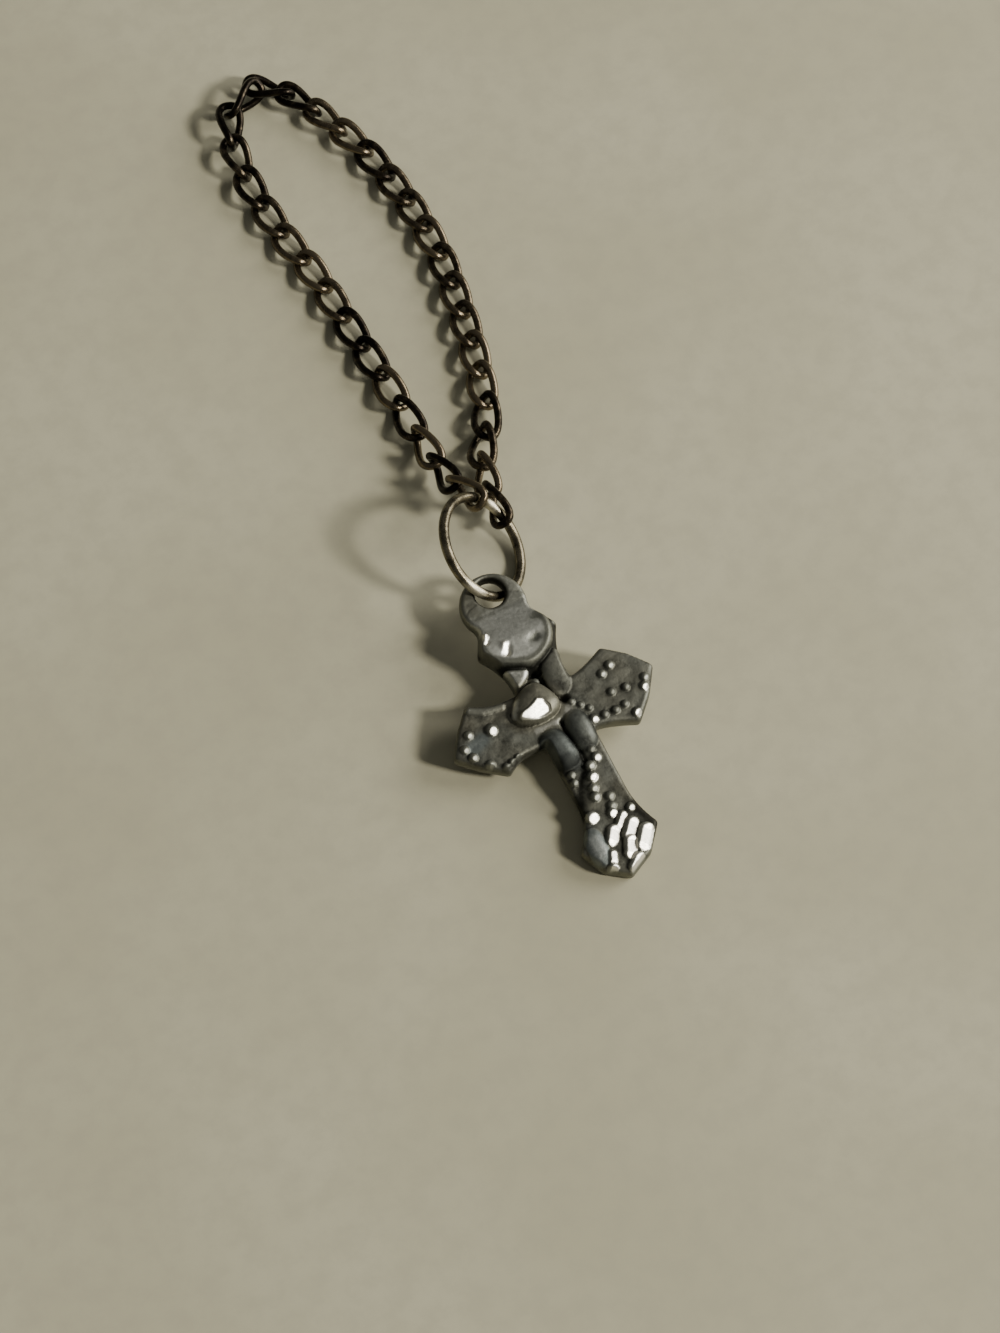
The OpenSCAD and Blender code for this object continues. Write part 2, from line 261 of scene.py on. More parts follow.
def old_brass(dark, light, worn):
    """Aged brass wire, brown-black where it is dark, with its metal showing where it has rubbed, and painted
    glints.
    """
    def recipe(tree, place):
        tone = tree.attribute("tone")
        grime = tree.noise(place, 0.55, 4, 0.6)
        grain = tree.noise(place, 0.07, 3, 0.6)
        rub = (grime * 0.7 + tone * 0.5).between(0.38, 0.82)
        colour = tree.mix(rub, dark, light)
        scuffs = (grime * 0.6 + grain * 0.4).between(0.6, 0.75) * worn
        colour = tree.mix(scuffs, colour, (0.50, 0.45, 0.34))
        # Painted glints: lighter, rougher metal where the lamp's highlights fall on the ring's wire
        painted_glint = tree.attribute("painted_glint")
        colour = tree.mix(painted_glint * (grime + grain - 0.15), colour, (0.66, 0.61, 0.47))
        rough = 0.22 + grain * 0.14 - rub * 0.04 + painted_glint * 0.12
        shape = tree.bump(grain, 0.01)
        return {"Base Color": colour, "Metallic": 0.9, "Roughness": rough, "Normal": shape}
    return recipe


# ---------------------------------------------------------------- mesh help
def make_piece(name, points, faces, finish, layers):
    """Smooth piece from points in mm, with a named number at each point for each layer."""
    mesh = bpy.data.meshes.new(name)
    mesh.from_pydata((np.asarray(points) * MM).tolist(), [], faces.tolist())
    mesh.update()
    for layer, values in layers.items():
        data = mesh.attributes.new(layer, "FLOAT", "POINT").data
        data.foreach_set("value", np.asarray(values, np.float32))
    mesh.polygons.foreach_set("use_smooth", np.ones(len(mesh.polygons), bool))
    mesh.materials.append(finish)
    piece = bpy.data.objects.new(name, mesh)
    bpy.context.collection.objects.link(piece)
    return piece


def grown(name, start, tree, values):
    """Runs a Geometry Nodes tree on the start mesh and gives its result as a plain piece."""
    seed = bpy.data.objects.new(name + "_seed", start)
    bpy.context.collection.objects.link(seed)
    modifier = seed.modifiers.new("grow", "NODES")
    modifier.node_group = tree
    for socket in tree.interface.items_tree:
        if socket.in_out == "INPUT" and socket.name in values:
            modifier[socket.identifier] = values[socket.name]
    ready = seed.evaluated_get(bpy.context.evaluated_depsgraph_get())
    mesh = bpy.data.meshes.new_from_object(ready)
    mesh.name = name
    bpy.data.objects.remove(seed)
    piece = bpy.data.objects.new(name, mesh)
    bpy.context.collection.objects.link(piece)
    return piece


def growing_tree(name, inputs):
    """Starts a Geometry Nodes tree with those named inputs. Gives its maker and its inputs."""
    tree = bpy.data.node_groups.new(name, "GeometryNodeTree")
    tree.interface.new_socket("Geometry", in_out="INPUT", socket_type="NodeSocketGeometry")
    for label, kind in inputs.items():
        tree.interface.new_socket(label, in_out="INPUT", socket_type="NodeSocket" + kind)
    tree.interface.new_socket("Geometry", in_out="OUTPUT", socket_type="NodeSocketGeometry")
    maker = Tree(tree)
    maker.node("NodeGroupInput")
    source = maker.last
    return maker, {s.name: Value(maker, s) for s in source.outputs if s.name}


# ---------------------------------------------------------------- the casting
def unit(v):
    """The same direction, one long."""
    return v / np.linalg.norm(v)


# The four arms, each as if it lay along +X: angle, half width to its right and left, where its flare
# starts and how sharply it goes, right corner, tip, left corner, and how far its end's edges bulge
ARMS = [
    (0, NECK, NECK + 0.2, 2.1, 1.4,
     (SIDE_FLARE, 0.1 - FLARE), (SIDE_TIP + 0.25, 0.45), (SIDE_FLARE - 0.05, FLARE + 0.2), 0.18),
    (90, NECK + 0.3, NECK - 0.3, 2.6, 2,
     (TOP_FLARE + 0.3, -END_FLARE - 0.4), (EYE_Y, 0), (TOP_FLARE + 0.2, END_FLARE), 0.3),
    (180, NECK + 0.4, NECK - 0.2, 2.3, 2,
     (SIDE_FLARE, -FLARE - 0.2), (SIDE_TIP, 0), (SIDE_FLARE - 0.6, FLARE - 0.4), 0.12),
    (270, STEM - STEM_SHIFT, STEM + STEM_SHIFT, 5.8, 2,
     (FOOT_FLARE - 0.1, -END_FLARE), (FOOT_TIP, -0.3), (FOOT_FLARE, END_FLARE + 0.15), 0.4),
]
FLARE_STEPS = 5


def arm_outline():
    """The cross's outline as the CAD solid has it."""
    points = []
    for k, (angle, right_half, left_half, start, power, right, tip, left, bulge) in enumerate(ARMS):
        def side(half, corner):
            return [(start + (corner[0] - start) * t, half + (corner[1] - half) * t ** power)
                    for t in np.linspace(0, 1, FLARE_STEPS + 1)]

        def bulged(a, b):
            a, b = np.array(a), np.array(b)
            return tuple((a + b) / 2 + bulge * unit(np.array([b[1] - a[1], a[0] - b[0]])))
        arm = side(-right_half, right) + [bulged(right, tip), tip, bulged(tip, left)]
        arm += side(left_half, left)[::-1] + [(ARMS[(k + 1) % 4][1], left_half)]
        c, s = math.cos(math.radians(angle)), math.sin(math.radians(angle))
        points += [(x * c - y * s, x * s + y * c) for x, y in arm]
    return np.array(points)


def off_path(points, path):
    """Distance from each point to the open path."""
    path = np.array(path)
    nearest = np.full(len(points), np.inf)
    for p, q in zip(path, path[1:]):
        along = q - p
        t = np.clip((points - p) @ along / (along @ along), 0, 1)
        nearest = np.minimum(nearest, np.hypot(*(points - p - t[:, None] * along).T))
    return nearest


def inside(points, loop):
    """Distance from each point to the closed loop: positive inside it, negative outside."""
    nearest = off_path(points, np.concatenate([loop, loop[:1]]))
    odd = np.zeros(len(points), bool)
    for p, q in zip(loop, np.roll(loop, -1, axis=0)):
        along = q - p
        crosses = (p[1] > points[:, 1]) != (q[1] > points[:, 1])
        with np.errstate(divide="ignore", invalid="ignore"):
            edge_x = p[0] + (points[:, 1] - p[1]) * along[0] / along[1]
        odd ^= crosses & (points[:, 0] < edge_x)
    return np.where(odd, nearest, -nearest)


def blend_max(a, b, soft):
    """The larger of two heights, with a fillet where they meet."""
    share = np.clip(0.5 + 0.5 * (a - b) / soft, 0, 1)
    return b * (1 - share) + a * share + soft * share * (1 - share)


def ease(x, low, high):
    """0 at low, 1 at high, smooth in between."""
    t = np.clip((x - low) / (high - low), 0, 1)
    return t * t * (3 - 2 * t)


def ripples(points, sizes, seed, count=26):
    """Smooth unevenness from -1 to 1, with lumps between those sizes."""
    draw = np.random.default_rng(seed)
    total = np.zeros(len(points))
    for _ in range(count):
        angle, phase = draw.uniform(0, math.tau, 2)
        size = draw.uniform(*sizes)
        wave = np.array([math.cos(angle), math.sin(angle)]) * math.tau / size
        total += np.sin(points @ wave + phase)
    return total / math.sqrt(count) / 1.6


# Forms on the casting's front, in its own mm, with heights over the field. Tone runs from 0, blackened,
# to 1, polished bright, and below 0 it is blackened further. Tint runs from 0, brownish, to 1, bluish.
# Outlines of the plain plate below the eye, the petal at its foot, the boss and the boss's worn facet
PLATE = [
    (-2.3, 5.9), (-2.42, 5.2), (-2.2, 4.5), (-1.7, 4.0), (-1.0, 3.6), (-0.2, 3.3), (0.5, 3.25),
    (1.2, 3.5), (1.8, 3.95), (2.25, 4.55), (2.45, 5.25), (2.4, 6.2), (2.2, 7.4), (1.4, 8.4),
    (-1.6, 8.4), (-2.3, 7.2)]
PETAL = [(-1.6, 3.9), (-0.1, 3.4), (-0.2, 2.85), (-1.25, 2.1), (-1.7, 2.9)]
BOSS = [
    (-2.5, 0.9), (-2.3, 0.1), (-1.2, -0.2), (0.0, -0.15), (0.8, 0.5), (0.5, 1.5), (-0.05, 2.35),
    (-0.8, 2.35), (-1.7, 1.9)]
FACET = [
    (-0.46, 1.22), (0.05, 0.2), (-0.8, -0.02), (-1.63, 0.12), (-2.1, 0.36), (-1.85, 0.66), (-1.2, 0.8)]
# Their heights and the widths of their rounded edges
PLATE_TOP, PETAL_TOP, BOSS_TOP = 0.66, 0.30, 0.78
PLATE_EDGE, PETAL_EDGE, BOSS_EDGE = 0.35, 0.3, 1.0
# Worn facets face this way: how far they lean from upright, and where they lean to, from -Y towards +X
FACET_LEAN, FACET_HEADING = 32, 22
# The boss's facet: a place on it, and its height there
FACET_MIDDLE, FACET_TOP = (-1.0, 0.5), 0.72
# A low lip along the left arm's upper edge: points on the way, half width, height
LIP, LIP_HALF, LIP_TOP = [(-4.45, 2.35), (-3.75, 1.95), (-2.6, 1.8)], 0.26, 0.14
# Pillows, which are the right petal, the two lobes and the foot's left swelling: from, to, width, height,
# tone, tint
PILLOWS = [
    ((1.05, 0.9), (1.6, 4.0), 1.6, 0.24, 0.18, 0.4),
    ((-0.45, -3.5), (-0.95, -0.75), 1.9, 0.62, 0.13, 0.9),
    ((1.05, -2.9), (1.0, -0.2), 1.6, 0.58, 0.14, 0.7),
    ((-1.45, -9.9), (-1.4, -7.3), 1.3, 0.26, 0.40, 1.0),
]
# Soft changes of colour: points on the way, half width, tone, tint. The second table goes on over the boss.
WASHES = [
    ([(0.65, -3.4), (0.0, -5.8)], 0.5, 0.42, 0.3),
    ([(-5.2, 0.1), (-4.5, 0.4)], 0.45, 0.40, 1.3),
    ([(-1.2, -0.35), (1.0, -0.05)], 0.45, 0.56, 0.5),
    ([(-3.9, 1.2), (-2.4, 1.3), (-2.1, 0.9)], 0.4, 0.27, 0.2),
    # Painted shade on the foot's right rim, which dims its highlight
    ([(1.9, -7.0), (2.4, -8.3)], 0.5, -0.15, 0.2),
    # Painted shade on the lower ends of the two lobes and of the right petal, which dims their highlights
    ([(-0.2, -3.4), (-0.6, -3.15)], 0.55, -0.1, 0.7),
    ([(1.1, -2.75), (1.05, -2.4)], 0.35, 0.06, 0.6),
    ([(1.0, 0.7), (1.2, 1.3)], 0.65, 0.07, 0.4),
    ([(1.35, -5.6), (1.7, -6.6)], 0.4, 0.18, 0.2),
    ([(0.3, -0.9), (0.42, -2.9)], 0.16, 0.32, 0.6),
]
BOSS_WASHES = [
    ([(-2.3, 0.8), (-1.85, 1.5)], 0.3, 0.58, 0.2),
    ([(-1.3, -0.45), (-0.2, -0.4)], 0.28, 0.58, 0.2),
    ([(0.85, -0.1), (1.1, 0.2)], 0.25, 0.58, 0.2),
]
# Bright nicks in the plate: points on the way and half width, and their height. Its dents: middle and depth,
# and how far they spread
NICKS = [([(-0.74, 5.0), (-0.9, 4.6)], 0.27), ([(-1.55, 6.05), (-1.7, 5.65)], 0.16)]
NICK_TOP = 0.7
DENTS = [((1.05, 4.75), 0.16), ((1.76, 6.1), 0.05)]
DENT_SPREAD = (0.42, 0.28)
# A bead's height over its radius
BEAD_RISE = 0.8
# Rows of beads: from, to, how many, radius, and how much of the radius is rubbed flat
BEADS = [
    ((1.0, -2.9), (1.0, -2.9), 1, 0.30, 0.05),
    ((1.06, -3.45), (1.06, -3.45), 1, 0.32, 0.18),
    ((0.5, -3.8), (0.02, -5.15), 3, 0.33, 0.12),
    ((0.31, -4.5), (0.31, -4.5), 1, 0.34, 0.30),
    ((-0.12, -5.69), (-0.12, -5.69), 1, 0.34, 0.12),
    ((-0.87, -6.79), (-0.87, -6.79), 1, 0.42, 0.36),
    ((0.68, -6.0), (0.5, -6.6), 2, 0.31, 0.10),
    ((0.33, -7.01), (0.33, -7.01), 1, 0.33, 0.26),
    ((1.46, -7.13), (1.46, -7.13), 1, 0.29, 0.17),
    ((-1.16, -10.12), (-1.16, -10.12), 1, 0.36, 0.30),
    ((-0.76, -3.89), (-0.84, -4.4), 2, 0.27, 0.08),
    ((3.74, 1.13), (4.4, 1.46), 2, 0.29, 0.12),
    ((5.96, -0.13), (5.96, -0.13), 1, 0.30, 0.12),
    ((5.67, -0.63), (5.67, -0.63), 1, 0.30, 0.22),
    ((3.73, -0.14), (4.65, -0.22), 2, 0.27, 0.03),
    ((4.11, -1.17), (4.11, -1.17), 1, 0.26, 0.0),
    ((4.55, -1.95), (4.55, -1.95), 1, 0.31, 0.28),
    ((2.03, -1.25), (2.03, -1.25), 1, 0.30, 0.20),
    ((2.75, -1.26), (3.45, -1.28), 2, 0.27, 0.0),
    ((1.3, 0.3), (2.1, -0.5), 3, 0.22, 0.0),
    ((-5.16, 0.95), (-5.75, 0.21), 2, 0.29, 0.12),
    ((-3.79, 0.69), (-3.79, 0.69), 1, 0.40, 0.18),
    ((-5.51, -0.43), (-4.79, -1.26), 2, 0.30, 0.12),
    ((-3.98, -1.78), (-3.1, -1.55), 3, 0.26, 0.0),
    ((-0.13, 2.28), (-0.11, 1.5), 2, 0.30, 0.0),
    ((-2.2, 0.94), (-2.0, 0.45), 2, 0.24, 0.06),
]
# Long ridges on the foot, rubbed bright: from, to, radius, and how much of the radius is rubbed flat
RIDGES = [
    ((1.68, -8.78), (1.12, -9.5), 0.47, 0.46),
    ((0.5, -10.2), (0.05, -10.6), 0.42, 0.44),
    ((0.52, -9.02), (0.2, -9.7), 0.42, 0.44),
    ((1.1, -8.03), (0.62, -8.6), 0.42, 0.36),
    ((-0.1, -8.02), (-0.45, -8.55), 0.40, 0.42),
    ((0.83, -7.35), (0.33, -7.85), 0.28, 0.22),
    ((-0.82, -9.3), (-0.98, -9.7), 0.31, 0.24),
]
# Grooves: points on the way, half width, depth
GROOVES = [
    ([(-1.5, 3.5), (-0.3, 2.95), (0.7, 2.9), (1.6, 3.3), (2.3, 4.1), (2.7, 5.0)], 0.26, 0.35),
    ([(0.1, 2.9), (0.5, 1.9), (1.0, 0.7)], 0.24, 0.35),
    ([(0.25, -0.6), (0.4, -2.2), (0.4, -3.3)], 0.16, 0.25),
    ([(0.3, -3.6), (-0.5, -4.4), (-1.0, -5.4), (-1.35, -6.4)], 0.36, 0.16),
]


def rounded(loop, times=2):
    """The closed loop with its corners cut off."""
    loop = np.array(loop)
    for _ in range(times):
        after = np.roll(loop, -1, axis=0)
        loop = np.stack([loop * 0.75 + after * 0.25, loop * 0.25 + after * 0.75], 1).reshape(-1, 2)
    return loop


def quarter_round(depth, edge):
    """Height of a rounded edge of that width: 0 at the outline, 1 where depth is edge or more."""
    return np.sqrt(np.clip(1 - (1 - np.clip(depth / edge, 0, 1)) ** 2, 0, 1))


def facet_height(points, middle, height):
    """Height of the plane of a worn facet that stands at that height over its middle."""
    lean, heading = math.radians(FACET_LEAN), math.radians(FACET_HEADING)
    slope = math.tan(lean) * np.array([math.sin(heading), -math.cos(heading)])
    return height - (points - middle) @ slope


class Front:
    """The casting's front at a set of points: its height over the field, tone, tint, how smooth it is
    and how much of it is a polished facet."""

    def __init__(self, points):
        self.points = points
        self.height = 0.02 * ripples(points, (0.6, 1.8), 3)
        self.tone = 0.27 + 0.06 * ripples(points, (1.0, 3.0), 8)
        self.tint = 0.35 + 0.15 * ripples(points, (2.0, 5.0), 9)
        self.smooth = np.zeros(len(points))
        self.facet = np.zeros(len(points))

    def paint(self, share, tone, tint=None, smooth=None):
        """Turns the finish that way by a share from 0 to 1."""
        self.tone += (tone - self.tone) * share
        if tint is not None:
            self.tint += (tint - self.tint) * share
        if smooth is not None:
            self.smooth += (smooth - self.smooth) * share

    def near(self, path, half):
        """1 on the path, fading out to about half to each side."""
        return np.exp(-(off_path(self.points, path) / half) ** 2)

    def groove(self, path, half, depth):
        share = self.near(path, half)
        self.height -= depth * share
        self.paint(share, 0.07, 0.35)

    def wash(self, path, half, tone, tint):
        self.paint(self.near(path, half), tone, tint)

    def add(self, height, tone, tint, smooth, soft=0.08):
        """Puts a form on the front, with a fillet round its foot."""
        share = ease(height - self.height, -0.02, 0.1)
        self.height = blend_max(self.height, height, soft)
        self.paint(share, tone, tint, smooth)

    def pillow(self, start, end, width, tall, tone, tint):
        """Long swelling with blunt ends, and a painted sheen on its crown."""
        a, b = np.array(start), np.array(end)
        length = np.linalg.norm(b - a)
        along = (b - a) / length
        local = self.points - (a + b) / 2
        u = local @ along * 2 / length
        v = local @ np.array([-along[1], along[0]]) * 2 / width
        dome = tall * np.clip(1 - np.abs(u) ** 2.5 - np.abs(v) ** 2.5, 0, None) ** 0.8
        # Painted sheen: the crown of the swelling is painted lighter
        painted_sheen = ease(dome, tall * 0.5, tall)
        self.add(np.where(dome > 0, dome, -1), tone + 0.1 * painted_sheen, tint, 0.8, 0.18)

    def bead(self, start, end, radius, worn):
        """Round bead, or a ridge if its ends lie apart, with its top rubbed flat."""
        start, along = np.array(start), np.array(end) - start
        t = np.clip((self.points - start) @ along / max(along @ along, 1e-9), 0, 1)
        middle = start + t[:, None] * along
        off = ((self.points - middle) ** 2).sum(axis=1)
        dome = BEAD_RISE * np.sqrt(np.clip(radius ** 2 - off, 0, None))
        top = BEAD_RISE * radius * (1 - worn) / math.cos(math.radians(FACET_LEAN))
        flat = facet_height(self.points, middle, top)
        tone = 0.14 + 0.7 * worn
        self.add(np.where(dome > 0, np.minimum(dome, flat), -1), tone, 0.45, 0.7, 0.06)
        if worn:
            self.polish((dome > 0) * ease(dome - flat, 0.0, 0.02) * ease(worn, 0.04, 0.28))

    def polish(self, share):
        """Makes that share of the surface a bright worn facet."""
        self.facet = np.maximum(self.facet, share)
        self.paint(share, 1.0, 0.5, 1.0)

    def block(self, loop, top, edge, tone, tint, smooth):
        """Raised piece with a rounded edge."""
        depth = inside(self.points, rounded(loop))
        self.add(np.where(depth > 0, top * quarter_round(depth, edge), -1), tone, tint, smooth)


def off_hole(points):
    """Distance from each point to the eye's hole: positive outside it, on the metal."""
    return np.hypot(points[:, 0] - EYE_X, points[:, 1] - EYE_Y) - EYE_HOLE_R


def carve_boss(front):
    """The petal, the boss with brown metal round it, and the worn facet across it."""
    points = front.points
    front.block(PETAL, PETAL_TOP, PETAL_EDGE, 0.52, 0.5, 0.8)
    front.paint(ease(inside(points, rounded(BOSS)), -0.7, 0.0), 0.30, 0.1)
    front.block(BOSS, BOSS_TOP, BOSS_EDGE, 0.25, 0.15, 0.1)
    worn = ease(inside(points, rounded(FACET, 1)), -0.06, 0.08)
    front.height += (facet_height(points, FACET_MIDDLE, FACET_TOP) - front.height) * worn
    front.polish(worn * (0.6 + 0.4 * ease(points[:, 0], -1.7, -1.0)))
    for wash in BOSS_WASHES:
        front.wash(*wash)


def carve_plate(front):
    """The plate, plain and smooth, which runs into the eye at its top, with its nicks and dents."""
    points = front.points
    x, y = points.T
    # On the arm's upper part the metal grows plain and smooth, and the plate sinks into it
    on_top = ease(y, 5.3, 6.2)
    front.paint(on_top, 0.62, 0.45, 0.9)
    plate = inside(points, rounded(PLATE))
    fade = 1 - ease(y, 5.0, 7.6)
    swell = PLATE_TOP * quarter_round(plate, PLATE_EDGE) * (0.06 + 0.94 * fade)
    front.add(np.where(plate > 0, swell, -1), 0.60, 0.5, 0.9, 0.06)
    # Painted shade round the plate's edge and over its shoulder, which dims the shoulder's highlight
    front.paint(ease(plate, -0.25, -0.05) * (1 - ease(plate, 0.2, 0.7)) * fade, 0.10, 0.4)
    # Duller metal at the eye
    front.paint(ease(y, 6.8, 8.0), 0.44, 0.4)
    hole = off_hole(points)
    # Painted shade on the eye's left, beside the hole, where the ring's wire shades it
    front.paint(on_top * (1 - ease(x, -2.0, -0.8)) * (1 - ease(hole, 0.5, 1.3)), 0.14, 0.2)
    # Painted shade, black, at the edge of the eye's hole
    front.paint(1 - ease(hole, 0.0, 0.3), 0.0, 0.3)
    for path, half in NICKS:
        nick = np.exp(-(off_path(points, path) / half) ** 4)
        level = facet_height(points, path[0], NICK_TOP)
        front.height += (level - front.height) * nick * ease(plate, 0, 0.1)
        front.polish(nick * (plate > 0))
    for middle, deep in DENTS:
        dent = np.exp(-(((points - middle) / DENT_SPREAD) ** 2).sum(axis=1))
        front.height -= deep * dent
        front.paint(dent * 0.6, 0.2)


def carved_front(points):
    front = Front(points)
    # The left arm is darker
    front.paint(0.5 * ease(-points[:, 0], 2.0, 4.0), 0.20)
    for groove in GROOVES:
        front.groove(*groove)
    for pillow in PILLOWS:
        front.pillow(*pillow)
    ridge = np.clip(1 - (off_path(points, LIP) / LIP_HALF) ** 2, 0, None)
    front.add(np.where(ridge > 0, LIP_TOP * np.sqrt(ridge), -1), 0.34, 0.4, 0.3)
    for wash in WASHES:
        front.wash(*wash)
    carve_boss(front)
    carve_plate(front)
    for start, end, count, radius, worn in BEADS:
        for t in np.linspace(0, 1, count):
            middle = np.array(start) + (np.array(end) - start) * t
            front.bead(middle, middle, radius, worn)
    for ridge in RIDGES:
        front.bead(*ridge)
    return front


# The casting's outline is worked out in this box, on a grid of that spacing, and softened by that much
FIELD_LOW, FIELD_HIGH = np.array([-8.0, -12.5]), np.array([8.2, 11.5])
FIELD_SPACING, FIELD_SOFTENING = 0.06, 0.12
# The grid of triangles that fills it: one corner, its size, and a triangle's height over its side
GRID_X, GRID_Y, GRID_WIDTH, GRID_HEIGHT, ROW_STEP = -8, -12.4, 16.2, 24, 0.866
FINE_TRIANGLE, QUICK_TRIANGLE = 0.062, 0.12
# Rounding of the casting's front and back edges, and how uneven its back is
FRONT_ROUNDING, BACK_ROUNDING, BACK_WAVE = 0.3, 0.2, 0.012
# A spot is hollow when it lies this much lower than the metal does so far away, in so many directions
HOLLOW_DEPTH, HOLLOW_REACH, HOLLOW_WAYS = 0.2, 0.3, 8
# Tone, tint and smoothness of the back
PLAIN_TONE = 0.4


def rounded_outline(spacing, soft):
    """Gives a function that tells how far inside the casting's edge a point is, with corners softened."""
    low, high = FIELD_LOW, FIELD_HIGH
    count = np.round((high - low) / spacing).astype(int) + 1
    xs, ys = (low[i] + spacing * np.arange(count[i]) for i in (0, 1))
    grid = np.stack(np.meshgrid(xs, ys, indexing="ij"), -1).reshape(-1, 2)
    rim = EYE_R - np.hypot(grid[:, 0] - RIM_X, grid[:, 1] - RIM_Y)
    depth = blend_max(inside(grid, arm_outline()), rim, 0.35).reshape(count)
    reach = int(3 * soft / spacing)
    kernel = np.exp(-0.5 * (np.arange(-reach, reach + 1) * spacing / soft) ** 2)
    kernel /= kernel.sum()
    for axis in (0, 1):
        depth = np.apply_along_axis(lambda row: np.convolve(row, kernel, "same"), axis, depth)

    def read(points):
        place = (points - low) / spacing
        cell = np.clip(place.astype(int), 0, count - 2)
        u, v = (place - cell).T
        i, j = cell.T
        edge = ((depth[i, j] * (1 - u) + depth[i + 1, j] * u) * (1 - v)
                + (depth[i, j + 1] * (1 - u) + depth[i + 1, j + 1] * u) * v)
        return np.minimum(edge, off_hole(points))
    return read


def triangle_grid(spacing):
    """Points and faces of equal triangles over the whole outline, every other row half a step along."""
    rows = np.arange(int(GRID_HEIGHT / (spacing * ROW_STEP)))
    cols = np.arange(int(GRID_WIDTH / spacing))
    i, j = np.meshgrid(cols, rows, indexing="ij")
    x, y = GRID_X + (i + (j % 2) * 0.5) * spacing, GRID_Y + j * spacing * ROW_STEP
    index = i * len(rows) + j
    a, b = index[:-1, :-1], index[1:, :-1]
    c, d = index[:-1, 1:], index[1:, 1:]
    odd = (j[:-1, :-1] % 2).astype(bool)
    faces = np.concatenate([
        np.stack([corner[chosen] for corner in corners], -1)
        for corners, chosen in (((a, b, c), ~odd), ((b, d, c), ~odd), ((a, b, d), odd), ((a, d, c), odd))])
    return np.stack([x, y], -1).reshape(-1, 2), faces


def open_edges(faces):
    """Edges that belong to one face only, each in the direction in which its face runs."""
    edges = {}
    for face in faces:
        for k in range(3):
            p, q = int(face[k]), int(face[(k + 1) % 3])
            if (q, p) in edges:
                del edges[(q, p)]
            else:
                edges[(p, q)] = True
    return np.array(list(edges))


def onto_edge(points, depth_at):
    """Moves points that lie near the casting's edge onto it."""
    step = 0.01
    for _ in range(4):
        slope = np.stack([
            depth_at(points + [step, 0]) - depth_at(points - [step, 0]),
            depth_at(points + [0, step]) - depth_at(points - [0, step])], -1) / (2 * step)
        size = np.maximum((slope ** 2).sum(axis=1), 0.2)
        points = points - slope * (depth_at(points) / size)[:, None]
    return points


def flat_casting(spacing):
    """Triangles that fill the outline: points, faces, edges of the rim, and distances from the rim."""
    depth_at = rounded_outline(FIELD_SPACING, FIELD_SOFTENING)
    points, faces = triangle_grid(spacing)
    faces = faces[(depth_at(points)[faces] > -0.3 * spacing).all(axis=1)]
    rim = open_edges(faces)
    used = np.unique(faces)
    renumber = np.full(len(points), -1)
    renumber[used] = np.arange(len(used))
    points, faces, rim = points[used], renumber[faces], renumber[rim]
    on_rim = np.unique(rim)
    points[on_rim] = onto_edge(points[on_rim], depth_at)
    depth = np.clip(depth_at(points), 0, None)
    depth[on_rim] = 0
    return points, faces, rim, depth


def edge_drop(depth, radius):
    """How far an edge of that rounding has fallen at that distance from it."""
    return radius * (1 - quarter_round(depth, radius))


def as_it_lies(shape):
    """The casting turned, with its foot's tip on the table and its eye end raised."""
    turn, tilt = (
        np.array(Matrix.Rotation(math.radians(angle), 3, axis))
        for angle, axis in ((CROSS_TURN, "Z"), (CROSS_TILT, "X")))
    lift = (FOOT_TIP - FOOT_INSET) * math.tan(math.radians(CROSS_TILT))
    return (shape @ turn.T + [0, 0, lift]) @ tilt.T + [CROSS_X, CROSS_Y, 0]


def make_cross(finish, spacing):
    points, faces, rim, depth = flat_casting(spacing)
    carved = carved_front(points)
    ways = [np.array([math.cos(t), math.sin(t)]) for t in np.arange(HOLLOW_WAYS) * math.tau / HOLLOW_WAYS]
    around = [carved_front(points + HOLLOW_REACH * way).height for way in ways]
    hollow = (np.mean(around, axis=0) - carved.height) / HOLLOW_DEPTH
    on_eye = ease(points[:, 1], *EYE_STARTS)
    raised = np.maximum(carved.height, 0) * ease(depth, 0, 0.25) + np.minimum(carved.height, 0)
    front = BODY_T + raised - edge_drop(depth, FRONT_ROUNDING) + (EYE_T - BODY_T) * on_eye
    wave = BACK_WAVE * (1 + ripples(points, (1.2, 3.0), 5))
    back = edge_drop(depth, BACK_ROUNDING) + wave * ease(depth, 0, 0.3)
    # The polish ends short of the edge, so that it doesn't run down the wall
    carved.facet *= ease(depth, 0.02, 0.2)
    carved.tone = np.minimum(carved.tone, 0.35 + 0.65 * ease(depth, 0, 0.2))
    n = len(points)
    shape = np.concatenate([np.column_stack([points, front]), np.column_stack([points, back])])
    p, q = rim.T
    walls = np.concatenate([np.stack([p + n, q + n, q], -1), np.stack([p + n, q, p], -1)])
    everything = np.concatenate([faces, faces[:, ::-1] + n, walls])
    plain = np.full(n, PLAIN_TONE)
    layers = {
        "hollow": np.concatenate([hollow, np.zeros(n)]),
        # The back is painted black round the hole too: painted shade in the eye's hole
        "tone": np.concatenate([carved.tone, np.where(off_hole(points) < 0.2, 0, plain)]),
        "tint": np.concatenate([carved.tint, plain]),
        "smooth": np.concatenate([carved.smooth, plain]),
        "facet": np.concatenate([carved.facet, np.zeros(n)]),
    }
    return make_piece("cross_casting", as_it_lies(shape), everything, finish, layers)


# ---------------------------------------------------------------- the jump ring and the chain
# How many steps long and how many sides round the wires are in the scene, and the links' steps in the CAD
RING_STEPS, RING_SIDES, LINK_STEPS, LINK_SIDES, CAD_LINK_STEPS = 120, 24, 56, 14, 16
# How fine the ring's changes of tone are, in lumps to the metre, and the draw of the links' tones
RING_TONE_SCALE, LINK_TONE_SEED = 700.0, 4
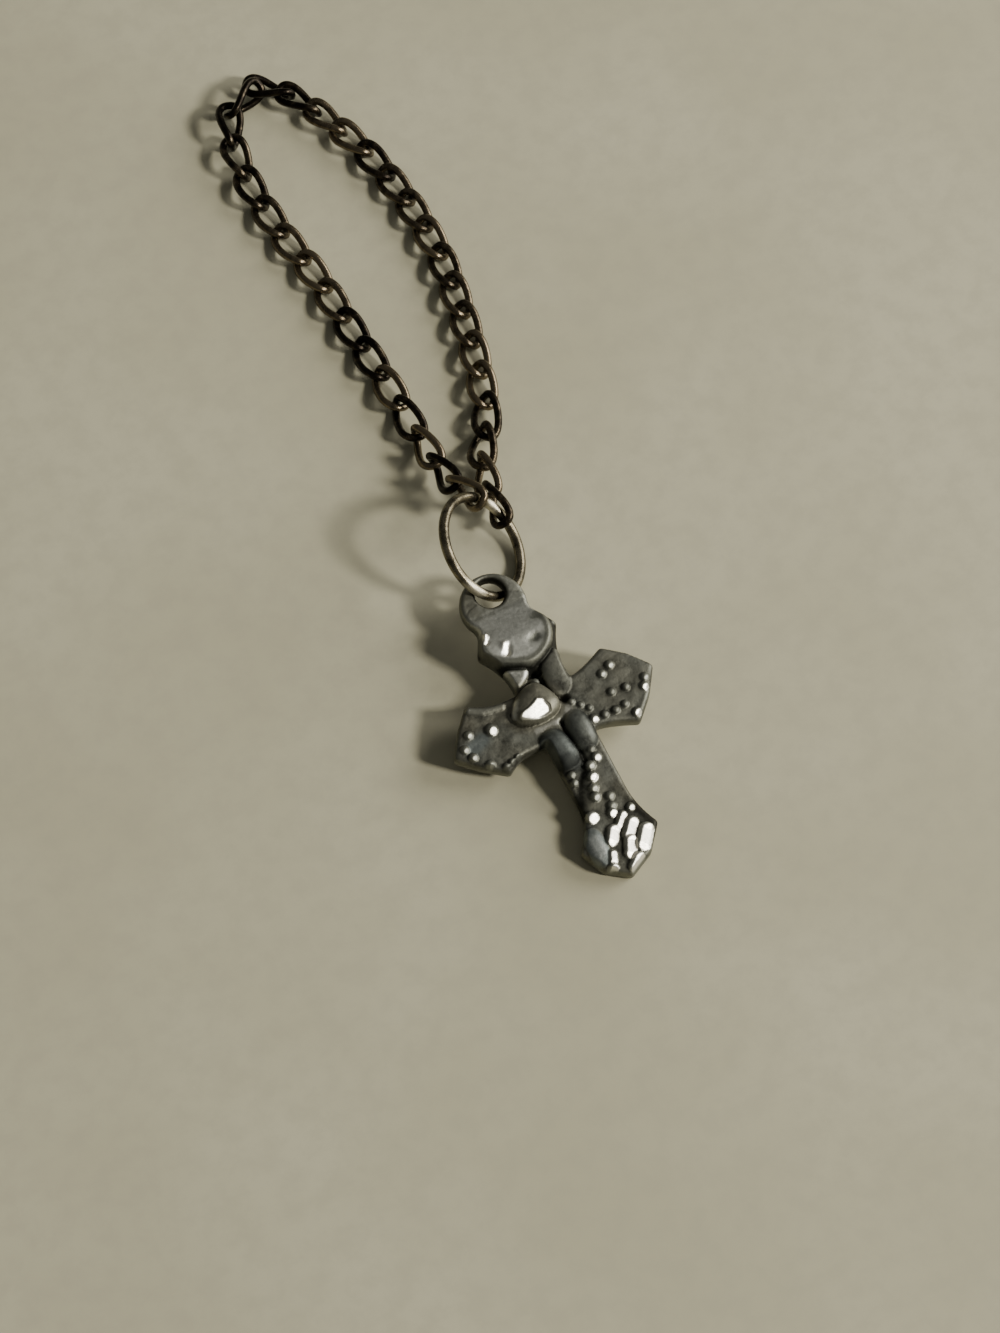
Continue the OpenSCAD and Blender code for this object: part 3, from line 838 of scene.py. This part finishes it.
# Painted glints on the ring's wire, lighter metal where the lamp's highlights fall, on the ring before it is
# turned:
# place, and how far off the painted glint starts to fade and ends
PAINTED_GLINT_SPOTS = {"Glint end": ((-3.12, 0.7, 0), 0.3, 1.1), "Glint top": ((3.12, -0.72, 0.1), 0.3, 0.7)}


def round_wire(maker, given, path):
    """Smooth round wire along the path."""
    profile = maker.node("GeometryNodeCurvePrimitiveCircle", {}, {
        "Resolution": given["Sides"], "Radius": given["Wire"]})
    wire = maker.node("GeometryNodeCurveToMesh", {}, {"Curve": path, "Profile Curve": profile})
    return maker.node("GeometryNodeSetShadeSmooth", {}, {"Geometry": wire})


def with_number(maker, geometry, name, value, domain="POINT"):
    """The geometry with that number under that name, for its material to read."""
    return maker.node("GeometryNodeStoreNamedAttribute", {"data_type": "FLOAT", "domain": domain}, {
        "Geometry": geometry, "Name": name, "Value": value})


def finished_tree(maker, given, geometry):
    """Ends the tree with one plain mesh in its finish."""
    geometry = maker.node("GeometryNodeRealizeInstances", {}, {"Geometry": geometry})
    geometry = maker.node("GeometryNodeSetMaterial", {}, {"Geometry": geometry, "Material": given["Finish"]})
    maker.node("NodeGroupOutput", {}, {"Geometry": geometry})
    return maker.tree


def ring_tree():
    """Makes a round ring of wire, turns it and puts it in its place."""
    maker, given = growing_tree("jump ring wire", {
        "Radius": "Float", "Wire": "Float", "Steps": "Int", "Sides": "Int", "Turn": "Rotation",
        "Place": "Vector", "Glint end": "Vector", "Glint top": "Vector", "Finish": "Material"})
    path = maker.node("GeometryNodeCurvePrimitiveCircle", {}, {
        "Resolution": given["Steps"], "Radius": given["Radius"]})
    ring = round_wire(maker, given, path)
    tone = maker.node("ShaderNodeTexNoise", {"noise_dimensions": "3D"}, {"Scale": RING_TONE_SCALE})
    ring = with_number(maker, ring, "tone", tone)
    position = maker.node("GeometryNodeInputPosition")

    # Painted glints: 1 near each spot where the lamp's highlights fall, fading to 0
    def painted_glint_at(spot):
        away = maker.node("ShaderNodeVectorMath", {"operation": "DISTANCE"}, {
            0: position, 1: given[spot]}, out=1)
        _, full, gone = PAINTED_GLINT_SPOTS[spot]
        return 1 - away.between(full * MM, gone * MM)
    ring = with_number(maker, ring, "painted_glint", painted_glint_at("Glint end") + painted_glint_at("Glint top"))
    ring = maker.node("GeometryNodeTransform", {}, {
        "Geometry": ring, "Translation": given["Place"], "Rotation": given["Turn"]})
    return finished_tree(maker, given, ring)


def chain_tree():
    """Stands a link of twisted oval wire on each point of the mesh it is given."""
    maker, given = growing_tree("curb chain links", {
        "Half length": "Float", "Half width": "Float", "Twist": "Float", "Fullness": "Float",
        "Wire": "Float", "Steps": "Int", "Sides": "Int", "Seed": "Int", "Finish": "Material"})
    loop = maker.node("GeometryNodeCurvePrimitiveCircle", {}, {
        "Resolution": given["Steps"], "Radius": 1.0})
    angle = maker.node("GeometryNodeInputIndex") / given["Steps"] * math.tau

    def eased(wave):
        value = angle.maths(wave, angle)
        return value.maths("SIGN", value) * value.maths("ABSOLUTE", value) ** given["Fullness"]
    along, aside = eased("COSINE"), eased("SINE")
    turn = -(along * given["Twist"])
    y = aside * given["Half width"]
    place = maker.node("ShaderNodeCombineXYZ", {}, {
        "X": along * given["Half length"],
        "Y": y * turn.maths("COSINE", turn), "Z": y * turn.maths("SINE", turn)})
    loop = maker.node("GeometryNodeSetPosition", {}, {"Geometry": loop, "Position": place})
    way = maker.node("GeometryNodeInputNamedAttribute", {"data_type": "FLOAT_VECTOR"}, {"Name": "way"})
    turned = maker.node("FunctionNodeEulerToRotation", {}, {"Euler": way})
    links = maker.node("GeometryNodeInstanceOnPoints", {}, {
        "Points": given["Geometry"], "Instance": round_wire(maker, given, loop), "Rotation": turned})
    tone = maker.node("FunctionNodeRandomValue", {"data_type": "FLOAT"}, {"Seed": given["Seed"]}, out=1)
    links = with_number(maker, links, "tone", tone, "INSTANCE")
    return finished_tree(maker, given, links)


# Route of the chain's middle line, from the jump ring round the far bend and back: x, y, z, roll, yaw. The
# first and the last row only bend the curve.
ROUTE = np.array([
    (1.15, -6.0, 3.5, -88, 0), (0.6, -3.87, 2.63, -76, 0), (0.12, -1.7, 1.78, -66, -3),
    (0.1, 0.7, 1.16, -50, 0), (0.1, 3.1, 0.87, -32, 0), (0.1, 5.7, 0.74, -15, 0),
    (-0.1, 10.6, 0.58, -2, 0), (-0.35, 15.4, 0.57, 0, 0), (-0.75, 18.0, 0.57, 0, 0),
    (-1.0, 20.3, 0.57, 0, 0), (-1.15, 23.0, 0.64, 8, 0), (-0.95, 25.6, 0.78, 24, 0),
    (-0.45, 27.75, 0.92, 40, 12), (1.4, 29.3, 0.95, 90, -4), (2.7, 29.65, 0.88, 142, -12),
    (4.7, 27.3, 0.76, 154, -4), (5.65, 24.9, 0.7, 162, 0), (6.55, 22.3, 0.62, 174, 0),
    (7.25, 17.8, 0.57, 180, 0), (7.3, 13.4, 0.57, 180, 0), (6.75, 9.5, 0.57, 180, 0),
    (5.8, 5.1, 0.6, 182, 0), (4.5, 1.2, 0.72, 194, 0), (3.1, -1.0, 0.9, 212, 0),
    (2.35, -3.2, 1.2, 234, 0), (2.05, -5.3, 1.5, 256, 0), (2.0, -7.4, 1.8, 268, 0),
])
SPLINE_STEPS = 8


def spline(p, q, r, s, t):
    """Smooth curve through four rows, at t from 0 at q to 1 at r."""
    bend, twist = 2 * p - 5 * q + 4 * r - s, 3 * q - p - 3 * r + s
    return 0.5 * (2 * q + (r - p) * t + bend * t ** 2 + twist * t ** 3)


def link_places():
    """Middle of each link in mm and how it is turned, as the CAD solids have them."""
    fine = np.array([
        spline(*ROUTE[i - 1:i + 3], k / SPLINE_STEPS)
        for i in range(1, len(ROUTE) - 2) for k in range(SPLINE_STEPS)] + [ROUTE[-2]])
    far = np.concatenate([[0], np.cumsum(np.linalg.norm(np.diff(fine[:, :3], axis=0), axis=1))])

    def on_route(s):
        return np.array([np.interp(s, far, fine[:, c]) for c in range(5)])
    half_l, half_w = (LINK_L - LINK_WIRE) / 2, (LINK_W - LINK_WIRE) / 2
    t = np.arange(CAD_LINK_STEPS) * math.tau / CAD_LINK_STEPS
    x, y = (np.sign(w) * np.abs(w) ** LINK_POWER for w in (np.cos(t), np.sin(t)))
    a = -math.radians(LINK_TWIST) * x
    oval = np.stack([half_l * x, half_w * y * np.cos(a), half_w * y * np.sin(a)], -1)
    places, turns = [], []
    for i in range(CHAIN_LINKS):
        in_bend = min(max(i - TAUT_LINKS, 0), BEND_LINKS)
        slack = max(i - TAUT_LINKS - BEND_LINKS, 0)
        s = TAUT_PITCH * min(i, TAUT_LINKS) + BEND_PITCH * in_bend + SLACK_PITCH * slack
        middle = on_route(s)
        chord = unit(on_route(s + half_l)[:3] - on_route(s - half_l)[:3])
        roll, yaw = np.radians(middle[3:])
        along = np.array([
            chord[0] * math.cos(yaw) - chord[1] * math.sin(yaw),
            chord[0] * math.sin(yaw) + chord[1] * math.cos(yaw), chord[2]])
        level = unit(np.cross([0, 0, 1], along))
        upright = np.cross(along, level)
        axes = np.array([
            along, math.cos(roll) * level + math.sin(roll) * upright,
            math.cos(roll) * upright - math.sin(roll) * level])
        # A link that would reach below the table is raised onto it
        lowest = (oval @ axes)[:, 2].min() - LINK_WIRE / 2
        places.append((middle[0], middle[1], max(middle[2], -lowest)))
        turns.append(Matrix(axes.T.tolist()).to_euler("XYZ"))
    return places, turns


def make_ring(finish):
    heading = Matrix.Rotation(math.radians(RING_HEADING), 3, "Z")
    slant = Matrix.Rotation(math.radians(RING_TILT), 3, "X")
    radius = (RING_OD - RING_WIRE) / 2
    rise = radius * math.sin(math.radians(RING_TILT)) + RING_WIRE / 2
    # Places of the painted glints, where the lamp's highlights fall
    painted_glint = {spot: Vector(place) * MM for spot, (place, _, _) in PAINTED_GLINT_SPOTS.items()}
    return grown("jump_ring_wire", bpy.data.meshes.new("ring_start"), ring_tree(), {
        "Radius": radius * MM, "Wire": RING_WIRE / 2 * MM, "Steps": RING_STEPS, "Sides": RING_SIDES,
        "Turn": (heading @ slant).to_euler(), "Place": Vector((RING_X, RING_Y, rise)) * MM,
        "Finish": finish, **painted_glint})


def make_chain(finish):
    places, turns = link_places()
    points = bpy.data.meshes.new("link_points")
    points.from_pydata([Vector(p) * MM for p in places], [], [])
    way = points.attributes.new("way", "FLOAT_VECTOR", "POINT")
    for i, turn in enumerate(turns):
        way.data[i].vector = turn
    return grown("chain_links", points, chain_tree(), {
        "Half length": (LINK_L - LINK_WIRE) / 2 * MM, "Half width": (LINK_W - LINK_WIRE) / 2 * MM,
        "Twist": math.radians(LINK_TWIST), "Fullness": LINK_POWER, "Wire": LINK_WIRE / 2 * MM,
        "Steps": LINK_STEPS, "Sides": LINK_SIDES,
        "Seed": LINK_TONE_SEED, "Finish": finish})


# ---------------------------------------------------------------- putting it together
make_camera()
for row in LAMPS:
    make_lamp(*row)
make_room_light()
make_table()

silver = material("cast_silver", cast_silver)
ring_brass = material("ring_brass", old_brass(
    dark=(0.02, 0.017, 0.011), light=(0.24, 0.21, 0.14), worn=0.5))
chain_brass = material("chain_brass", old_brass(
    dark=(0.012, 0.009, 0.006), light=(0.17, 0.135, 0.085), worn=0.25))

cross = make_cross(silver, FINE_TRIANGLE)
ring = make_ring(ring_brass)
chain = make_chain(chain_brass)
for piece, slot, nodes in (
        (cross, "cast_silver", ["cross"]),
        (ring, "ring_brass", ["jump_ring"]),
        (chain, "chain_brass", [f"link_{i:02d}" for i in range(1, CHAIN_LINKS + 1)])):
    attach(piece, "root")
    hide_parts(*nodes)
